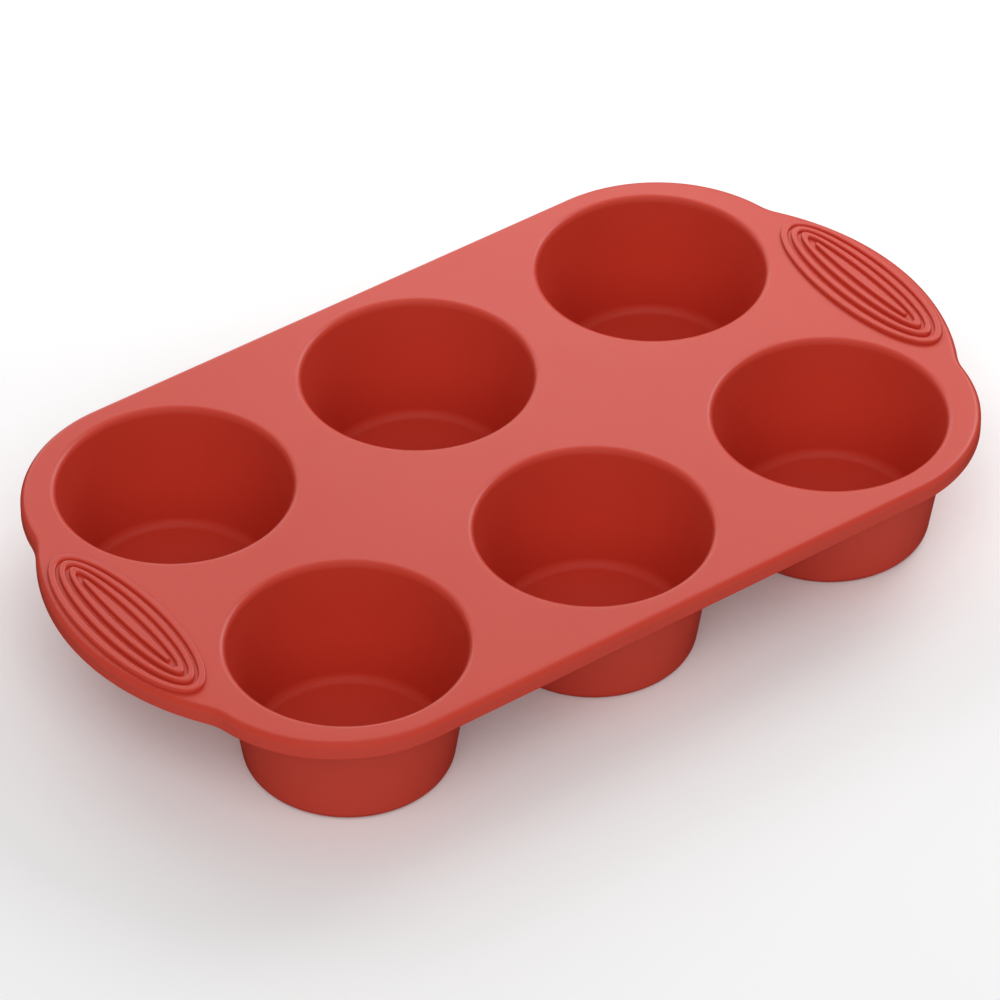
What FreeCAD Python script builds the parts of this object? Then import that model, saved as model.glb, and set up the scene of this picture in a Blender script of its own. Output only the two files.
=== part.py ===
"""Six-cup muffin tray, moulded in one piece of silicone rubber, divided at its own features.

Millimetres, +Z up, +X along the length. The origin is the centre of the footprint, on the plane
that the six cups stand on. Each feature is one closed solid, and neighbours meet face to face.
"""
import FreeCAD
import Part
import math
import os

os.makedirs("parts", exist_ok=True)

# ---- Driving dimensions ---------------------------------------------------------------------

tray_length = 300.0          # over both grip lobes
tray_width = 175.0           # over the straight long sides
cup_pitch = 88.0             # between neighbouring cup centres, along and across
cup_height = 41.5            # from the standing plane to the top of the deck

deck_thickness = 2.0
edge_radius = 2.0            # rounding where the deck turns down into the skirt
skirt_height = 5.8           # from the top of the deck to the skirt's lower edge
skirt_round = 0.7            # rounding of the skirt's lower edge, inside and out

corner_radius = 47.7         # convex corners beside the corner cups
neck_radius = 17.5           # hollow curve between a corner and the grip lobe
lobe_radius = 81.0           # curve of the grip lobe at each short end

mouth_radius = 34.8          # inside of a cup, just under its rounded mouth
mouth_round = 2.2            # rounding from the deck into the cup
foot_inner_radius = 29.3     # inside of a cup where its wall would meet its floor
wall_thickness = 1.6         # cup wall, measured level
floor_thickness = 1.8
foot_round_inside = 3.0
foot_round_outside = 3.9
underside_round = 1.2        # fillet where the cup's outside meets the underside of the deck

grip_centre_x = 134.6

# The ring ribs of a grip, from the outside inwards: name, outer ellipse, inner ellipse, the level
# of the top above the deck, and the rounding of the top edges. An ellipse is its half width and
# its half length.
ring_ribs = (
    ("outer", (12.5, 36.4), (9.85, 33.6), 1.3, 0.7),
    ("middle", (8.75, 32.6), (6.4, 30.0), 1.7, 0.65),
    ("inner", (5.15, 28.7), (2.9, 25.6), 2.1, 0.6),
)
core_half_width = 1.5        # the solid rib in the middle
core_half_length = 22.0
core_tip_radius = 0.7
core_level = 2.2
core_round = 0.5

# The pad under the ribs rises towards the middle of the grip in three terraces, and each step is
# hidden under a ring. A terrace is its ellipse and the level of its top above the deck.
pad_terraces = (
    ((10.6, 34.5), 0.35),
    ((7.5, 31.2), 0.7),
    ((4.0, 27.1), 1.0),
)

# ---- Worked-out places ----------------------------------------------------------------------

half_length = tray_length / 2
half_width = tray_width / 2
deck_top = cup_height
deck_underside = deck_top - deck_thickness
skirt_bottom = deck_top - skirt_height
wall_lean = math.atan2(
    mouth_radius - foot_inner_radius, cup_height - mouth_round - floor_thickness)
cup_hole_radius = mouth_radius + mouth_round / math.cos(wall_lean)
corner_centre = (cup_pitch, half_width - corner_radius)
lobe_centre = (half_length - lobe_radius, 0.0)

columns = (("left", -cup_pitch), ("middle", 0.0), ("right", cup_pitch))
rows = (("front", -cup_pitch / 2), ("back", cup_pitch / 2))


def vector(x, y, z=0.0):
    return FreeCAD.Vector(x, y, z)


def on_circle(centre, radius, angle):
    """The point of a circle at an angle in radians from +X."""
    return (centre[0] + radius * math.cos(angle), centre[1] + radius * math.sin(angle))


def direction(start, end):
    """The angle of the line from one point to another."""
    return math.atan2(end[1] - start[1], end[0] - start[0])


def arc(centre, radius, start, end, z=0.0):
    """An arc edge from one angle to another, whichever way round the two angles run."""
    points = [on_circle(centre, radius, angle) for angle in (start, (start + end) / 2, end)]
    return Part.Arc(*[vector(x, y, z) for x, y in points]).toShape()


def line(start, end, z=0.0):
    return Part.makeLine(vector(start[0], start[1], z), vector(end[0], end[1], z))


def neck_centre():
    """The centre that puts the neck curve outside both the corner and the lobe, touching both."""
    to_corner = corner_radius + neck_radius
    to_lobe = lobe_radius + neck_radius
    span = math.dist(lobe_centre, corner_centre)
    at_lobe = math.acos((to_lobe ** 2 + span ** 2 - to_corner ** 2) / (2 * to_lobe * span))
    return on_circle(lobe_centre, to_lobe, direction(lobe_centre, corner_centre) - at_lobe)


def quarter(inset, z):
    """The edges of the outline's +X +Y quarter, from the middle of the end to that of the side."""
    neck = neck_centre()
    lobe_end = direction(lobe_centre, neck)
    corner_start = direction(corner_centre, neck)
    lobe = arc(lobe_centre, lobe_radius - inset, 0.0, lobe_end, z)
    hollow = arc(neck, neck_radius + inset, lobe_end + math.pi, corner_start + math.pi, z)
    corner = arc(corner_centre, corner_radius - inset, corner_start, math.pi / 2, z)
    side = half_width - inset
    return [lobe, hollow, corner, line((corner_centre[0], side), (0.0, side), z)]


def outline_face(inset, z):
    """The tray's outline, moved in by a distance, as a flat face."""
    edges = []
    for edge in quarter(inset, z):
        across = edge.mirror(vector(0, 0), vector(1, 0))
        edges += [edge, across]
        edges += [edge.mirror(vector(0, 0), vector(0, 1)), across.mirror(vector(0, 0), vector(0, 1))]
    wire = Part.Wire(Part.__sortEdges__(edges))
    return Part.Face(wire)


def prism(face, height):
    return face.extrude(vector(0, 0, height))


def level_edges(solid, z):
    """The edges of a solid that lie in the plane at a height."""
    return [edge for edge in solid.Edges
            if abs(edge.BoundBox.ZMin - z) < 1e-4 and abs(edge.BoundBox.ZMax - z) < 1e-4]


def save(solid, node):
    solid.exportStep("parts/" + node + ".step")
    print(f"{node:24s} valid {solid.isValid()}  solids {len(solid.Solids)}  "
          f"{solid.Volume / 1000:8.2f} cm3")


# ---- Deck -----------------------------------------------------------------------------------

def make_deck():
    """The flat web: the outline inside the rounded edge, with a round hole for each cup."""
    deck = prism(outline_face(edge_radius, deck_underside), deck_thickness)
    for _, x in columns:
        for _, y in rows:
            hole = Part.makeCylinder(cup_hole_radius, deck_thickness, vector(x, y, deck_underside))
            deck = deck.cut(hole)
    return deck


# ---- Rim ------------------------------------------------------------------------------------

def make_rim_skirt():
    """The band outside the deck: rounded at the top, standing straight down, rounded below."""
    body = prism(outline_face(0.0, skirt_bottom), skirt_height)
    body = body.makeFillet(edge_radius, level_edges(body, deck_top))
    body = body.cut(prism(outline_face(edge_radius, skirt_bottom), skirt_height))
    return body.makeFillet(skirt_round, level_edges(body, skirt_bottom))


# ---- Cups -----------------------------------------------------------------------------------

def revolve(edges, x, y):
    """A closed profile in the XZ plane, turned about its own Z axis and moved to a cup's place."""
    solid = Part.Face(Part.Wire(edges)).revolve(vector(0, 0), vector(0, 0, 1), 360)
    solid.translate(vector(x, y))
    return solid


def profile_line(start, end):
    return Part.makeLine(vector(start[0], 0, start[1]), vector(end[0], 0, end[1]))


def profile_arc(centre, radius, start, end):
    points = [on_circle(centre, radius, angle) for angle in (start, (start + end) / 2, end)]
    return Part.Arc(*[vector(r, 0, z) for r, z in points]).toShape()


def inner_radius(z):
    """The radius of the inside of the straight wall at a height."""
    return foot_inner_radius + (z - floor_thickness) * math.tan(wall_lean)


def foot_arc(floor_z, radius_at_floor, rounding):
    """The rounding between a level floor and the leaning wall: its centre and its two ends."""
    reach = rounding * math.tan((math.pi / 2 - wall_lean) / 2)
    centre = (radius_at_floor - reach, floor_z + rounding)
    return centre, on_circle(centre, rounding, -wall_lean), (centre[0], floor_z)


def make_cup_wall(x, y):
    """The mouth, the tapered wall and the rounded foot, as one thick-walled turning."""
    inside, inside_up, inside_foot = foot_arc(floor_thickness, foot_inner_radius, foot_round_inside)
    outer_foot_radius = inner_radius(0.0) + wall_thickness
    outside, outside_up, outside_foot = foot_arc(0.0, outer_foot_radius, foot_round_outside)

    mouth_centre = (cup_hole_radius, deck_top - mouth_round)
    mouth_low = on_circle(mouth_centre, mouth_round, math.pi - wall_lean)
    outer_top = (cup_hole_radius, deck_underside)
    outer_low_z = deck_underside - underside_round
    outer_low = (inner_radius(outer_low_z) + wall_thickness, outer_low_z)
    seam_low = (inside_foot[0], 0.0)

    return revolve([
        profile_arc(mouth_centre, mouth_round, math.pi / 2, math.pi - wall_lean),
        profile_line(mouth_low, inside_up),
        profile_arc(inside, foot_round_inside, -wall_lean, -math.pi / 2),
        profile_line(inside_foot, seam_low),
        profile_line(seam_low, outside_foot),
        profile_arc(outside, foot_round_outside, -math.pi / 2, -wall_lean),
        profile_line(outside_up, outer_low),
        profile_line(outer_low, outer_top),
        profile_line(outer_top, (cup_hole_radius, deck_top)),
    ], x, y)


def make_cup_floor(x, y):
    """The flat base inside the foot's rounding."""
    _, _, inside_foot = foot_arc(floor_thickness, foot_inner_radius, foot_round_inside)
    return Part.makeCylinder(inside_foot[0], floor_thickness, vector(x, y))


# ---- Grip ribs ------------------------------------------------------------------------------

def ellipse_face(centre_x, half_across, half_along):
    ellipse = Part.Ellipse(
        vector(centre_x, half_along), vector(centre_x + half_across, 0), vector(centre_x, 0))
    return Part.Face(Part.Wire(ellipse.toShape()))


def oval_face(centre_x, half_across, half_along, tip):
    """A long oval lying along Y: two wide side arcs joined by two small tip arcs, all tangent."""
    tip_y = half_along - tip
    side = (half_across ** 2 + tip_y ** 2 - tip ** 2) / (2 * (half_across - tip))
    sweep = math.atan2(tip_y, side - half_across)
    half_turn = math.pi
    right = arc((centre_x - side + half_across, 0.0), side, -sweep, sweep)
    top = arc((centre_x, tip_y), tip, sweep, half_turn - sweep)
    left = arc((centre_x + side - half_across, 0.0), side, half_turn - sweep, half_turn + sweep)
    bottom = arc((centre_x, -tip_y), tip, half_turn + sweep, 2 * half_turn - sweep)
    return Part.Face(Part.Wire([right, top, left, bottom]))


def make_pad(centre_x):
    """The low terraced pad inside a grip's outer rib."""
    first, *others = [prism(ellipse_face(centre_x, *outline), level)
                      for outline, level in pad_terraces]
    pad = first.multiFuse(others).removeSplitter()
    pad.translate(vector(0, 0, deck_top))
    return pad


def stand_on_grip(rib, centre_x, level, rounding):
    """Rounds a rib's top edges, lifts it to the deck and takes away what the pad fills."""
    rib = rib.makeFillet(rounding, level_edges(rib, level))
    rib.translate(vector(0, 0, deck_top))
    return rib.cut(make_pad(centre_x))


def make_ring_rib(centre_x, outer, inner, level, rounding):
    """An elliptical ring."""
    ring = prism(ellipse_face(centre_x, *outer), level)
    ring = ring.cut(prism(ellipse_face(centre_x, *inner), level))
    return stand_on_grip(ring, centre_x, level, rounding)


def make_core_rib(centre_x):
    """The long solid rib in the middle of a grip."""
    core = prism(oval_face(centre_x, core_half_width, core_half_length, core_tip_radius), core_level)
    return stand_on_grip(core, centre_x, core_level, core_round)


# ---- The nodes ------------------------------------------------------------------------------

save(make_deck(), "deck")
save(make_rim_skirt(), "rim_skirt")

for row, cup_y in rows:
    for column, cup_x in columns:
        save(make_cup_wall(cup_x, cup_y), f"cup_wall_{row}_{column}")
        save(make_cup_floor(cup_x, cup_y), f"cup_floor_{row}_{column}")

for end, grip_x in (("left", -grip_centre_x), ("right", grip_centre_x)):
    save(make_pad(grip_x), f"grip_{end}_pad")
    for rib_name, *rib_shape in ring_ribs:
        save(make_ring_rib(grip_x, *rib_shape), f"grip_{end}_rib_{rib_name}")
    save(make_core_rib(grip_x), f"grip_{end}_rib_core")
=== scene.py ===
import bmesh
import bpy
import math
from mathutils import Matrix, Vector


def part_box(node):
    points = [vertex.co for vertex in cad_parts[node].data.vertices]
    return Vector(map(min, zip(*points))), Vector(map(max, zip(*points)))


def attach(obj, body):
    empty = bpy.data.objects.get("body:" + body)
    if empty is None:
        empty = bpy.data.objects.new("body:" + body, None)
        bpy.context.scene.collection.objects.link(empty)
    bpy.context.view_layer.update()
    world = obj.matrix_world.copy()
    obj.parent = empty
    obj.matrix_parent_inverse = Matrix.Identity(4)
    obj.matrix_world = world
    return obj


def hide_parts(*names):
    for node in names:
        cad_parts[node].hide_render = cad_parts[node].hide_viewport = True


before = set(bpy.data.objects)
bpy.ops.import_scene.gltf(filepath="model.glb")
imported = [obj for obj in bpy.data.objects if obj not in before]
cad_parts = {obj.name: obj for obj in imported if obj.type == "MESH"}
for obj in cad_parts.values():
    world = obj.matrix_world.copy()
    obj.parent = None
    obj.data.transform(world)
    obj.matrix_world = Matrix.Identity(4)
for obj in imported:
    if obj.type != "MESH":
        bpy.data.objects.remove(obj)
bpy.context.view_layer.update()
bpy.ops.object.select_all(action="DESELECT")

# ---- Camera ---------------------------------------------------------------------------------
# A long lens two metres off, above the tray's front left corner, so that the far cups look
# almost as large as the near ones.

camera_azimuth = math.radians(-36.22)
camera_elevation = math.radians(39.75)
camera_distance = 2.0334
camera_lens = 249.6
deck_low, deck_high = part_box("deck")
aim = Vector((-0.01506, -0.01841, deck_high.z))
towards_camera = Vector((
    math.sin(camera_azimuth) * math.cos(camera_elevation),
    -math.cos(camera_azimuth) * math.cos(camera_elevation),
    math.sin(camera_elevation),
))
bpy.ops.object.camera_add(location=aim + towards_camera * camera_distance)
camera = bpy.context.object
camera.name = "studio_camera"
camera.rotation_mode = "QUATERNION"
camera.rotation_quaternion = (-towards_camera).to_track_quat("-Z", "Y")
camera.data.lens = camera_lens
camera.data.clip_start = 0.1
camera.data.clip_end = 50.0
bpy.context.scene.camera = camera

# ---- Deck -----------------------------------------------------------------------------------
# The flat web that ties the six cups together. The real tray is moulded in one shot from red
# silicone rubber, which comes off the polished tool with a soft satin skin. Its outline is drawn
# from the middle of a grip lobe to the middle of a long side, and mirrored.

millimetre = 0.001
corner_radius = 47.7 * millimetre
neck_radius = 17.5 * millimetre
lobe_radius = 81.0 * millimetre
edge_radius = 2.0 * millimetre
land = 1.0 * millimetre      # flat strip that the rim and each cup share with the deck's top face
cup_pitch = 88.0 * millimetre
mouth_radius = 34.8 * millimetre
mouth_round = 2.2 * millimetre
cup_steps = 128
lobe_steps = 26
neck_steps = 10
corner_steps = 40

rim_low, rim_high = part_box("rim_skirt")
half_length = rim_high.x
half_width = rim_high.y
deck_top = deck_high.z
deck_underside = deck_low.z
corner_centre = Vector((cup_pitch, half_width - corner_radius))
lobe_centre = Vector((half_length - lobe_radius, 0.0))
foot_inner_radius = 29.3 * millimetre
floor_low, floor_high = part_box("cup_floor_front_middle")
floor_top = floor_high.z
wall_slope = (mouth_radius - foot_inner_radius) / (deck_top - mouth_round - floor_top)
land_radius = mouth_radius + mouth_round * math.hypot(1.0, wall_slope) + land
cup_places = {
    "front_left": (-cup_pitch, -cup_pitch / 2),
    "front_middle": (0.0, -cup_pitch / 2),
    "front_right": (cup_pitch, -cup_pitch / 2),
    "back_left": (-cup_pitch, cup_pitch / 2),
    "back_middle": (0.0, cup_pitch / 2),
    "back_right": (cup_pitch, cup_pitch / 2),
}


class Shade:
    """A socket in a material that can be used in sums, which add the Math nodes they need."""

    def __init__(self, recipe, socket):
        self.recipe = recipe
        self.socket = socket

    def math(self, operation, first, second):
        return self.recipe.node("ShaderNodeMath", {"operation": operation}, {0: first, 1: second})

    def __add__(self, other):
        return self.math("ADD", self, other)

    def __radd__(self, other):
        return self.math("ADD", other, self)

    def __mul__(self, other):
        return self.math("MULTIPLY", self, other)

    def __rmul__(self, other):
        return self.math("MULTIPLY", other, self)


class Recipe:
    """A new material, made node by node."""

    def __init__(self, name):
        self.material = bpy.data.materials.new(name)
        self.material.use_nodes = True
        self.tree = self.material.node_tree
        self.skin = self.tree.nodes["Principled BSDF"]

    def node(self, kind, settings, sockets, output=0):
        made = self.tree.nodes.new(kind)
        for name, value in settings.items():
            setattr(made, name, value)
        for name, value in sockets.items():
            self.feed(made.inputs[name], value)
        return Shade(self, made.outputs[output])

    def feed(self, socket, value):
        if isinstance(value, Shade):
            self.tree.links.new(value.socket, socket)
        else:
            socket.default_value = value

    def finish(self, **sockets):
        for name, value in sockets.items():
            self.feed(self.skin.inputs[name.replace("_", " ")], value)
        return self.material


blend_factor, first_colour, second_colour, blended = 0, 6, 7, 2      # a Mix node's colour sockets

silicone = Recipe("red_silicone")
place = silicone.node("ShaderNodeTexCoord", {}, {}, "Object")
cloud = silicone.node("ShaderNodeTexNoise", {}, {"Vector": place, "Scale": 14.0, "Detail": 3.0})
smear = silicone.node("ShaderNodeTexNoise", {}, {"Vector": place, "Scale": 85.0, "Detail": 4.0})
grain = silicone.node("ShaderNodeTexNoise", {}, {"Vector": place, "Scale": 1900.0, "Detail": 2.0})
deep_red = (0.56, 0.043, 0.022, 1.0)
milky_red = (0.60, 0.050, 0.028, 1.0)
satin_roughness = 0.36
smear_roughness = 0.08
red = silicone.node("ShaderNodeMix", {"data_type": "RGBA"}, {
    blend_factor: cloud, first_colour: deep_red, second_colour: milky_red}, blended)
skin_bump = silicone.node("ShaderNodeBump", {}, {
    "Strength": 0.25, "Distance": 0.03 * millimetre, "Height": grain})
red_silicone = silicone.finish(
    Base_Color=red,
    Roughness=satin_roughness + smear * smear_roughness,
    Normal=skin_bump,
)


merge_distance = 0.001 * millimetre
smooth_angle = math.radians(35)


def start_point(name, place):
    """Adds a piece whose mesh is one vertex, selected, and leaves it in edit mode."""
    bpy.ops.mesh.primitive_plane_add(size=millimetre, location=(0, 0, 0))
    piece = bpy.context.object
    piece.name = name
    bpy.ops.object.mode_set(mode="EDIT")
    bpy.ops.mesh.merge(type="CENTER")
    bpy.ops.transform.translate(value=place)
    return piece


def mirror_piece(piece):
    """Mirrors a quarter over to the other three quarters, and joins them."""
    bpy.ops.object.mode_set(mode="OBJECT")
    mirror = piece.modifiers.new("other_quarters", "MIRROR")
    mirror.use_axis = (True, True, False)
    mirror.merge_threshold = merge_distance
    bpy.ops.object.modifier_apply(modifier=mirror.name)


def sweep(centre, turn, steps):
    """Carries what is selected round an upright axis, leaving its track behind."""
    bpy.ops.mesh.spin(steps=steps, angle=-turn, center=(*centre, 0.0), axis=(0, 0, 1))


def follow_outline():
    """Carries what is selected round the lobe, the hollow neck and the corner, and along the side."""
    to_corner = corner_radius + neck_radius
    to_lobe = lobe_radius + neck_radius
    lobe_to_corner = corner_centre - lobe_centre
    span = lobe_to_corner.length
    inner_angle = math.acos((to_lobe**2 + span**2 - to_corner**2) / (2 * to_lobe * span))
    lobe_turn = math.atan2(lobe_to_corner.y, lobe_to_corner.x) - inner_angle
    neck_centre = lobe_centre + to_lobe * Vector((math.cos(lobe_turn), math.sin(lobe_turn)))
    from_corner = neck_centre - corner_centre
    corner_start = math.atan2(from_corner.y, from_corner.x)
    sweep(lobe_centre, lobe_turn, lobe_steps)
    sweep(neck_centre, corner_start - lobe_turn, neck_steps)
    sweep(corner_centre, math.pi / 2 - corner_start, corner_steps)
    bpy.ops.mesh.extrude_region_move(TRANSFORM_OT_translate={"value": (-corner_centre.x, 0, 0)})


def finish_piece(piece, *nodes):
    """Points the faces outwards, rounds the shading over all but real corners, and fits it in."""
    bpy.ops.object.mode_set(mode="EDIT")
    bpy.ops.mesh.select_all(action="SELECT")
    bpy.ops.mesh.remove_doubles(threshold=merge_distance)
    bpy.ops.mesh.normals_make_consistent(inside=False)
    bpy.ops.object.mode_set(mode="OBJECT")
    bpy.ops.object.shade_smooth_by_angle(angle=smooth_angle)
    flats = piece.modifiers.new("flat_faces_stay_flat", "WEIGHTED_NORMAL")
    flats.keep_sharp = True
    bpy.ops.object.modifier_apply(modifier=flats.name)
    piece.data.materials.append(red_silicone)
    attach(piece, "root")
    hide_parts(*nodes)
    piece.select_set(False)


deck = start_point("tray_deck", (half_length - edge_radius - land, 0, deck_top))
follow_outline()
mirror_piece(deck)
bpy.ops.object.mode_set(mode="EDIT")
for x, y in cup_places.values():
    bpy.ops.mesh.primitive_circle_add(
        vertices=cup_steps, radius=land_radius, location=(x, y, deck_top))
bpy.ops.mesh.select_all(action="SELECT")
bpy.ops.mesh.fill(use_beauty=True)
bpy.ops.mesh.extrude_region_move(
    TRANSFORM_OT_translate={"value": (0, 0, deck_underside - deck_top)})
finish_piece(deck, "deck")

# ---- Rim ------------------------------------------------------------------------------------
# The tray's edge rolls over from the deck into a short skirt, which stiffens it and keeps it from
# curling. Its section is drawn once and carried round the same outline as the deck's.

rim_thickness = 2.0 * millimetre
rim_foot_round = 0.7 * millimetre
rim_inside_round = 0.9 * millimetre


def reach(x, z):
    """Draws a line from the selected vertex to a place in the XZ plane."""
    mesh = bmesh.from_edit_mesh(bpy.context.object.data)
    here = next(vertex.co for vertex in mesh.verts if vertex.select)
    bpy.ops.mesh.extrude_region_move(
        TRANSFORM_OT_translate={"value": (x - here.x, -here.y, z - here.z)})


def draw_section(name, corners, round_steps=10):
    """Draws a section in the XZ plane. A corner is its X, its Z and the radius of its rounding."""
    places = [Vector(corner[:2]) for corner in corners]
    piece = start_point(name, (places[0].x, 0, places[0].y))
    here = places[0]
    for index in range(1, len(corners)):
        corner = places[index]
        radius = corners[index][2]
        if radius:
            back = (here - corner).normalized()
            on = (places[index + 1] - corner).normalized()
            turn = math.pi - back.angle(on)
            start = corner + back * radius * math.tan(turn / 2)
            centre = corner + (back + on).normalized() * radius / math.cos(turn / 2)
            side = math.copysign(1.0, back.cross(on))
            reach(start.x, start.y)
            bpy.ops.mesh.spin(
                steps=round_steps, angle=-side * turn,
                center=(centre.x, 0, centre.y), axis=(0, 1, 0))
            here = corner + on * radius * math.tan(turn / 2)
        else:
            reach(corner.x, corner.y)
            here = corner
    bpy.ops.mesh.select_all(action="SELECT")
    return piece


rim_inside = half_length - rim_thickness
rim = draw_section("tray_rim", (
    (rim_inside - land, deck_top, 0.0),
    (half_length, deck_top, edge_radius),
    (half_length, rim_low.z, rim_foot_round),
    (rim_inside, rim_low.z, rim_foot_round),
    (rim_inside, deck_underside, rim_inside_round),
    (rim_inside - land, deck_underside, 0.0),
    (rim_inside - land, deck_top, 0.0),
))
follow_outline()
mirror_piece(rim)
finish_piece(rim, "rim_skirt")

# ---- Cups -----------------------------------------------------------------------------------
# Six tapered cups hang from the deck and stand on their floors. Wall and floor are one turning
# with a rounded mouth, a rounded foot and a floor that is flat enough to stand on.

wall_thickness = 1.6 * millimetre
foot_round_inside = 3.0 * millimetre
foot_round_outside = 3.9 * millimetre
underside_round = 0.8 * millimetre


def wall_radius(z):
    """The radius of a cup's inside at a height, with the wall taken on past its roundings."""
    return foot_inner_radius + (z - floor_top) * wall_slope


first_cup = draw_section("tray_cup", (
    (0.0, floor_top, 0.0),
    (wall_radius(floor_top), floor_top, foot_round_inside),
    (wall_radius(deck_top), deck_top, mouth_round),
    (land_radius, deck_top, 0.0),
    (land_radius, deck_underside, 0.0),
    (wall_radius(deck_underside) + wall_thickness, deck_underside, underside_round),
    (wall_radius(floor_low.z) + wall_thickness, floor_low.z, foot_round_outside),
    (0.0, floor_low.z, 0.0),
))
bpy.ops.mesh.spin(steps=cup_steps, angle=2 * math.pi, center=(0, 0, 0), axis=(0, 0, 1))
bpy.ops.object.mode_set(mode="OBJECT")

for cup_name, (x, y) in cup_places.items():
    cup = first_cup.copy()
    cup.data = first_cup.data.copy()
    cup.name = "tray_cup_" + cup_name
    bpy.context.collection.objects.link(cup)
    cup.location = (x, y, 0)
    bpy.ops.object.select_all(action="DESELECT")
    cup.select_set(True)
    bpy.context.view_layer.objects.active = cup
    bpy.ops.object.transform_apply(location=True)
    finish_piece(cup, "cup_wall_" + cup_name, "cup_floor_" + cup_name)
bpy.data.objects.remove(first_cup)

# ---- Grip pads and ribs ----------------------------------------------------------------------
# Each lobe carries raised ribs that keep an oven glove from slipping: three oval rings, one inside
# the other, round a long core. It is all part of the moulding. Three flat terraces under the ribs
# stand in for a pad that seems to be gently crowned.

grip_x = 134.6 * millimetre
rooting = 0.8 * millimetre      # how far the pads and ribs reach down into the deck
grip_root = deck_top - rooting
quarter_steps = 48
top_segments = 6
top_edge_angle = math.radians(60)

# In millimetres: half of an oval's width and length, outside and then inside, and its rounding.
ring_ribs = {
    "outer": ((12.5, 36.4), (9.85, 33.6), 0.7),
    "middle": ((8.75, 32.6), (6.4, 30.0), 0.65),
    "inner": ((5.15, 28.7), (2.9, 25.6), 0.6),
}

# In millimetres: half of the core's width and length and its tip's radius, and its rounding.
core_outline = (1.5, 22.0, 0.7)
core_rounding = 0.5
core_side_steps = 12
core_tip_steps = 6

# In millimetres: half of a terrace's width and length, and how far its top is above the deck.
pad_terraces = (
    ((10.6, 34.5), 0.35),
    ((7.5, 31.2), 0.7),
    ((4.0, 27.1), 1.0),
)


def add_ellipse(half_across, half_along, z):
    """Adds a ring of vertices in the shape of an ellipse, by drawing a circle and stretching it."""
    bpy.ops.mesh.primitive_circle_add(
        vertices=4 * quarter_steps, radius=half_across * millimetre, location=(0, 0, z))
    bpy.ops.transform.resize(value=(1.0, half_along / half_across, 1.0))


def draw_ellipse(name, outer, inner, z):
    """Draws a flat face at a height in an empty mesh: an ellipse, or the ring between two."""
    bpy.ops.object.select_all(action="DESELECT")
    bpy.ops.mesh.primitive_circle_add(vertices=3, radius=millimetre, location=(0, 0, 0))
    piece = bpy.context.object
    piece.name = name
    bpy.ops.object.mode_set(mode="EDIT")
    bpy.ops.mesh.delete(type="VERT")
    add_ellipse(*outer, z)
    if inner:
        add_ellipse(*inner, z)
        bpy.ops.mesh.select_all(action="SELECT")
        bpy.ops.mesh.bridge_edge_loops()
    else:
        bpy.ops.mesh.edge_face_add()
    return piece


def draw_core(name, half_across, half_along, tip, z):
    """Draws the flat face of a long oval: a side arc and a tip arc, mirrored over."""
    side_x = half_across * millimetre
    tip_radius = tip * millimetre
    tip_y = half_along * millimetre - tip_radius
    side_radius = (side_x**2 + tip_y**2 - tip_radius**2) / (2 * (side_x - tip_radius))
    side_turn = math.atan2(tip_y, side_radius - side_x)
    piece = start_point(name, (side_x, 0, z))
    sweep((side_x - side_radius, 0), side_turn, core_side_steps)
    sweep((0, tip_y), math.pi / 2 - side_turn, core_tip_steps)
    mirror_piece(piece)
    bpy.ops.object.mode_set(mode="EDIT")
    bpy.ops.mesh.select_all(action="SELECT")
    bpy.ops.mesh.edge_face_add()
    return piece


def raise_to(level, base_z):
    """Makes a solid of the flat face by drawing it up to a level, and leaves edit mode."""
    bpy.ops.mesh.extrude_region_move(TRANSFORM_OT_translate={"value": (0, 0, level - base_z)})
    bpy.ops.mesh.select_all(action="SELECT")
    bpy.ops.mesh.normals_make_consistent(inside=False)
    bpy.ops.object.mode_set(mode="OBJECT")


def round_top(rib, rounding):
    """Rounds the sharp edges of a rib."""
    soften = rib.modifiers.new("rounded_top", "BEVEL")
    soften.width = rounding * millimetre
    soften.segments = top_segments
    soften.limit_method = "ANGLE"
    soften.angle_limit = top_edge_angle
    bpy.ops.object.modifier_apply(modifier=soften.name)


def place_copies(first, node_end):
    """Puts a copy of a piece on each grip, and removes the one they were copied from."""
    for end, centre_x in (("left", -grip_x), ("right", grip_x)):
        piece = first.copy()
        piece.data = first.data.copy()
        piece.name = f"tray_grip_{end}_{node_end}"
        bpy.context.collection.objects.link(piece)
        piece.location = (centre_x, 0, 0)
        bpy.ops.object.select_all(action="DESELECT")
        piece.select_set(True)
        bpy.context.view_layer.objects.active = piece
        bpy.ops.object.transform_apply(location=True)
        finish_piece(piece, f"grip_{end}_{node_end}")
    bpy.data.objects.remove(first)


lower_outline = pad_terraces[0][0]
base_z = grip_root
pad = draw_ellipse("pad", lower_outline, None, base_z)
for outline, level in pad_terraces:
    if outline != lower_outline:
        bpy.ops.mesh.extrude_region_move()
        bpy.ops.transform.resize(
            value=(outline[0] / lower_outline[0], outline[1] / lower_outline[1], 1.0))
    terrace_top = deck_top + level * millimetre
    bpy.ops.mesh.extrude_region_move(
        TRANSFORM_OT_translate={"value": (0, 0, terrace_top - base_z)})
    lower_outline = outline
    base_z = terrace_top
bpy.ops.object.mode_set(mode="OBJECT")
place_copies(pad, "pad")

for rib_name, (outer, inner, rounding) in ring_ribs.items():
    rib = draw_ellipse("rib", outer, inner, grip_root)
    raise_to(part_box(f"grip_right_rib_{rib_name}")[1].z, grip_root)
    round_top(rib, rounding)
    place_copies(rib, "rib_" + rib_name)

core = draw_core("rib", *core_outline, grip_root)
raise_to(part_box("grip_right_rib_core")[1].z, grip_root)
round_top(core, core_rounding)
place_copies(core, "rib_core")

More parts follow.
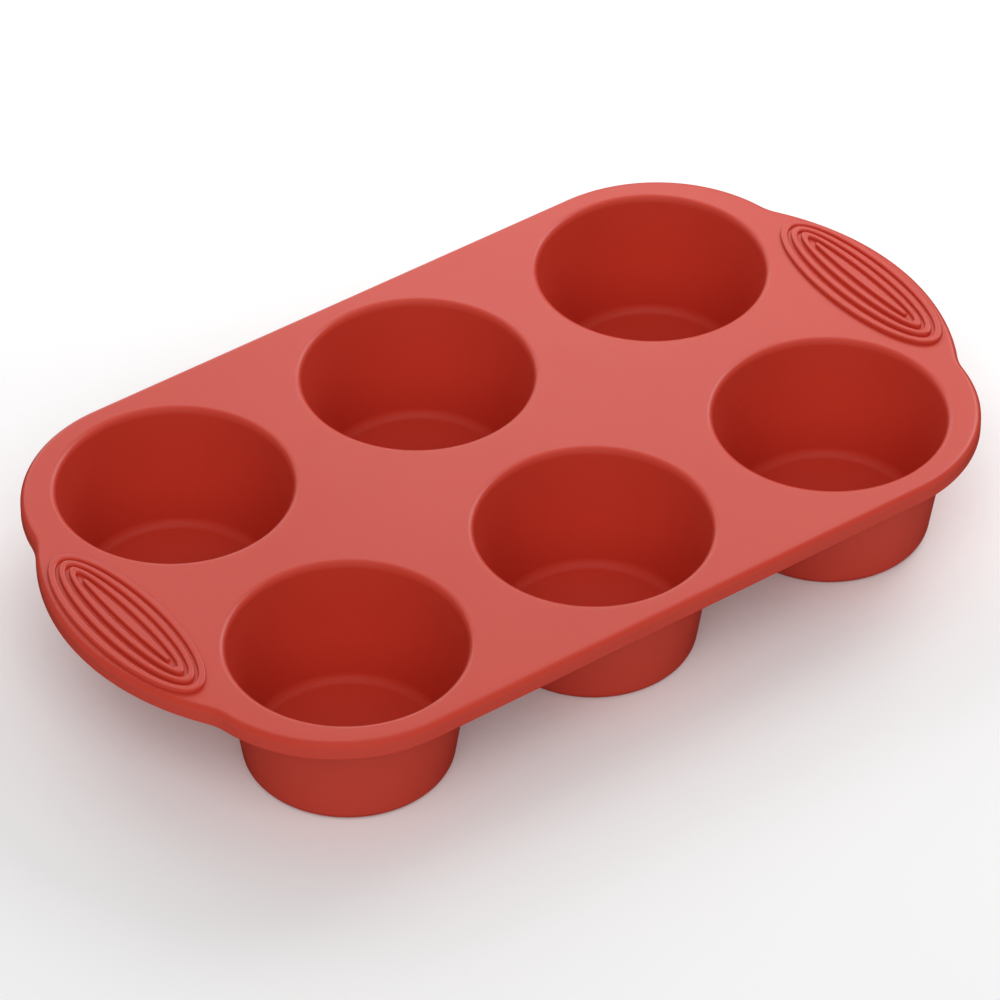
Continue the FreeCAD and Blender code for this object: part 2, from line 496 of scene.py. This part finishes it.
# ---- Studio ---------------------------------------------------------------------------------
# A pale floor, even light from all round, soft boxes behind the tray, to its right and above it, and
# a large window behind the camera. The floor, the even light and the window are off for glossy
# rays, which makes the rubber look less milky than it would in a real studio.

floor_size = 12.0
light_paper = (0.92, 0.92, 0.92, 1.0)
dull_paper = (0.90, 0.90, 0.90, 1.0)
white = (1.0, 1.0, 1.0, 1.0)
even_light = 0.30

bpy.ops.mesh.primitive_plane_add(size=floor_size, location=(0, 0, 0))
studio_floor = bpy.context.object
studio_floor.name = "studio_floor"
paper = Recipe("pale_paper")
paper_place = paper.node("ShaderNodeTexCoord", {}, {}, "Object")
paper_tone = paper.node("ShaderNodeTexNoise", {}, {"Vector": paper_place, "Scale": 3.0})
studio_floor.data.materials.append(paper.finish(
    Base_Color=paper.node("ShaderNodeMix", {"data_type": "RGBA"}, {
        blend_factor: paper_tone, first_colour: dull_paper, second_colour: light_paper}, blended),
    Roughness=0.9,
    Emission_Color=white,
    Emission_Strength=0.06,
))
studio_floor.visible_glossy = False

world = bpy.data.worlds.new("soft_studio")
world.use_nodes = True
world.node_tree.nodes["Background"].inputs["Color"].default_value = white
world.node_tree.nodes["Background"].inputs["Strength"].default_value = even_light
world.cycles_visibility.glossy = False
bpy.context.scene.world = world


def soft_box(name, where, size, watts, mirrored=True):
    """Adds a square soft box aimed at the tray. Without mirrored it is off for glossy rays."""
    bpy.ops.object.light_add(type="AREA", location=where)
    light = bpy.context.object
    light.name = name
    light.data.size = size
    light.data.energy = watts
    light.rotation_mode = "QUATERNION"
    light.rotation_quaternion = (aim - Vector(where)).to_track_quat("-Z", "Y")
    light.visible_glossy = mirrored


soft_box("key_soft_box", where=(0.325, 0.40, 0.363), size=0.25, watts=0.50)
soft_box("back_soft_box", where=(0.05, 0.70, 0.50), size=0.50, watts=1.25)
soft_box("low_back_soft_box", where=(0.30, 0.90, 0.15), size=0.50, watts=1.05)
soft_box("right_soft_box", where=(0.66, 0.16, 0.52), size=0.45, watts=2.55)
soft_box("overhead_soft_box", where=(0.10, 0.05, 0.90), size=0.60, watts=0.50)
soft_box("front_window", where=(-0.96, -1.31, 1.63), size=2.0, watts=29.0, mirrored=False)

bpy.context.scene.view_settings.view_transform = "Standard"
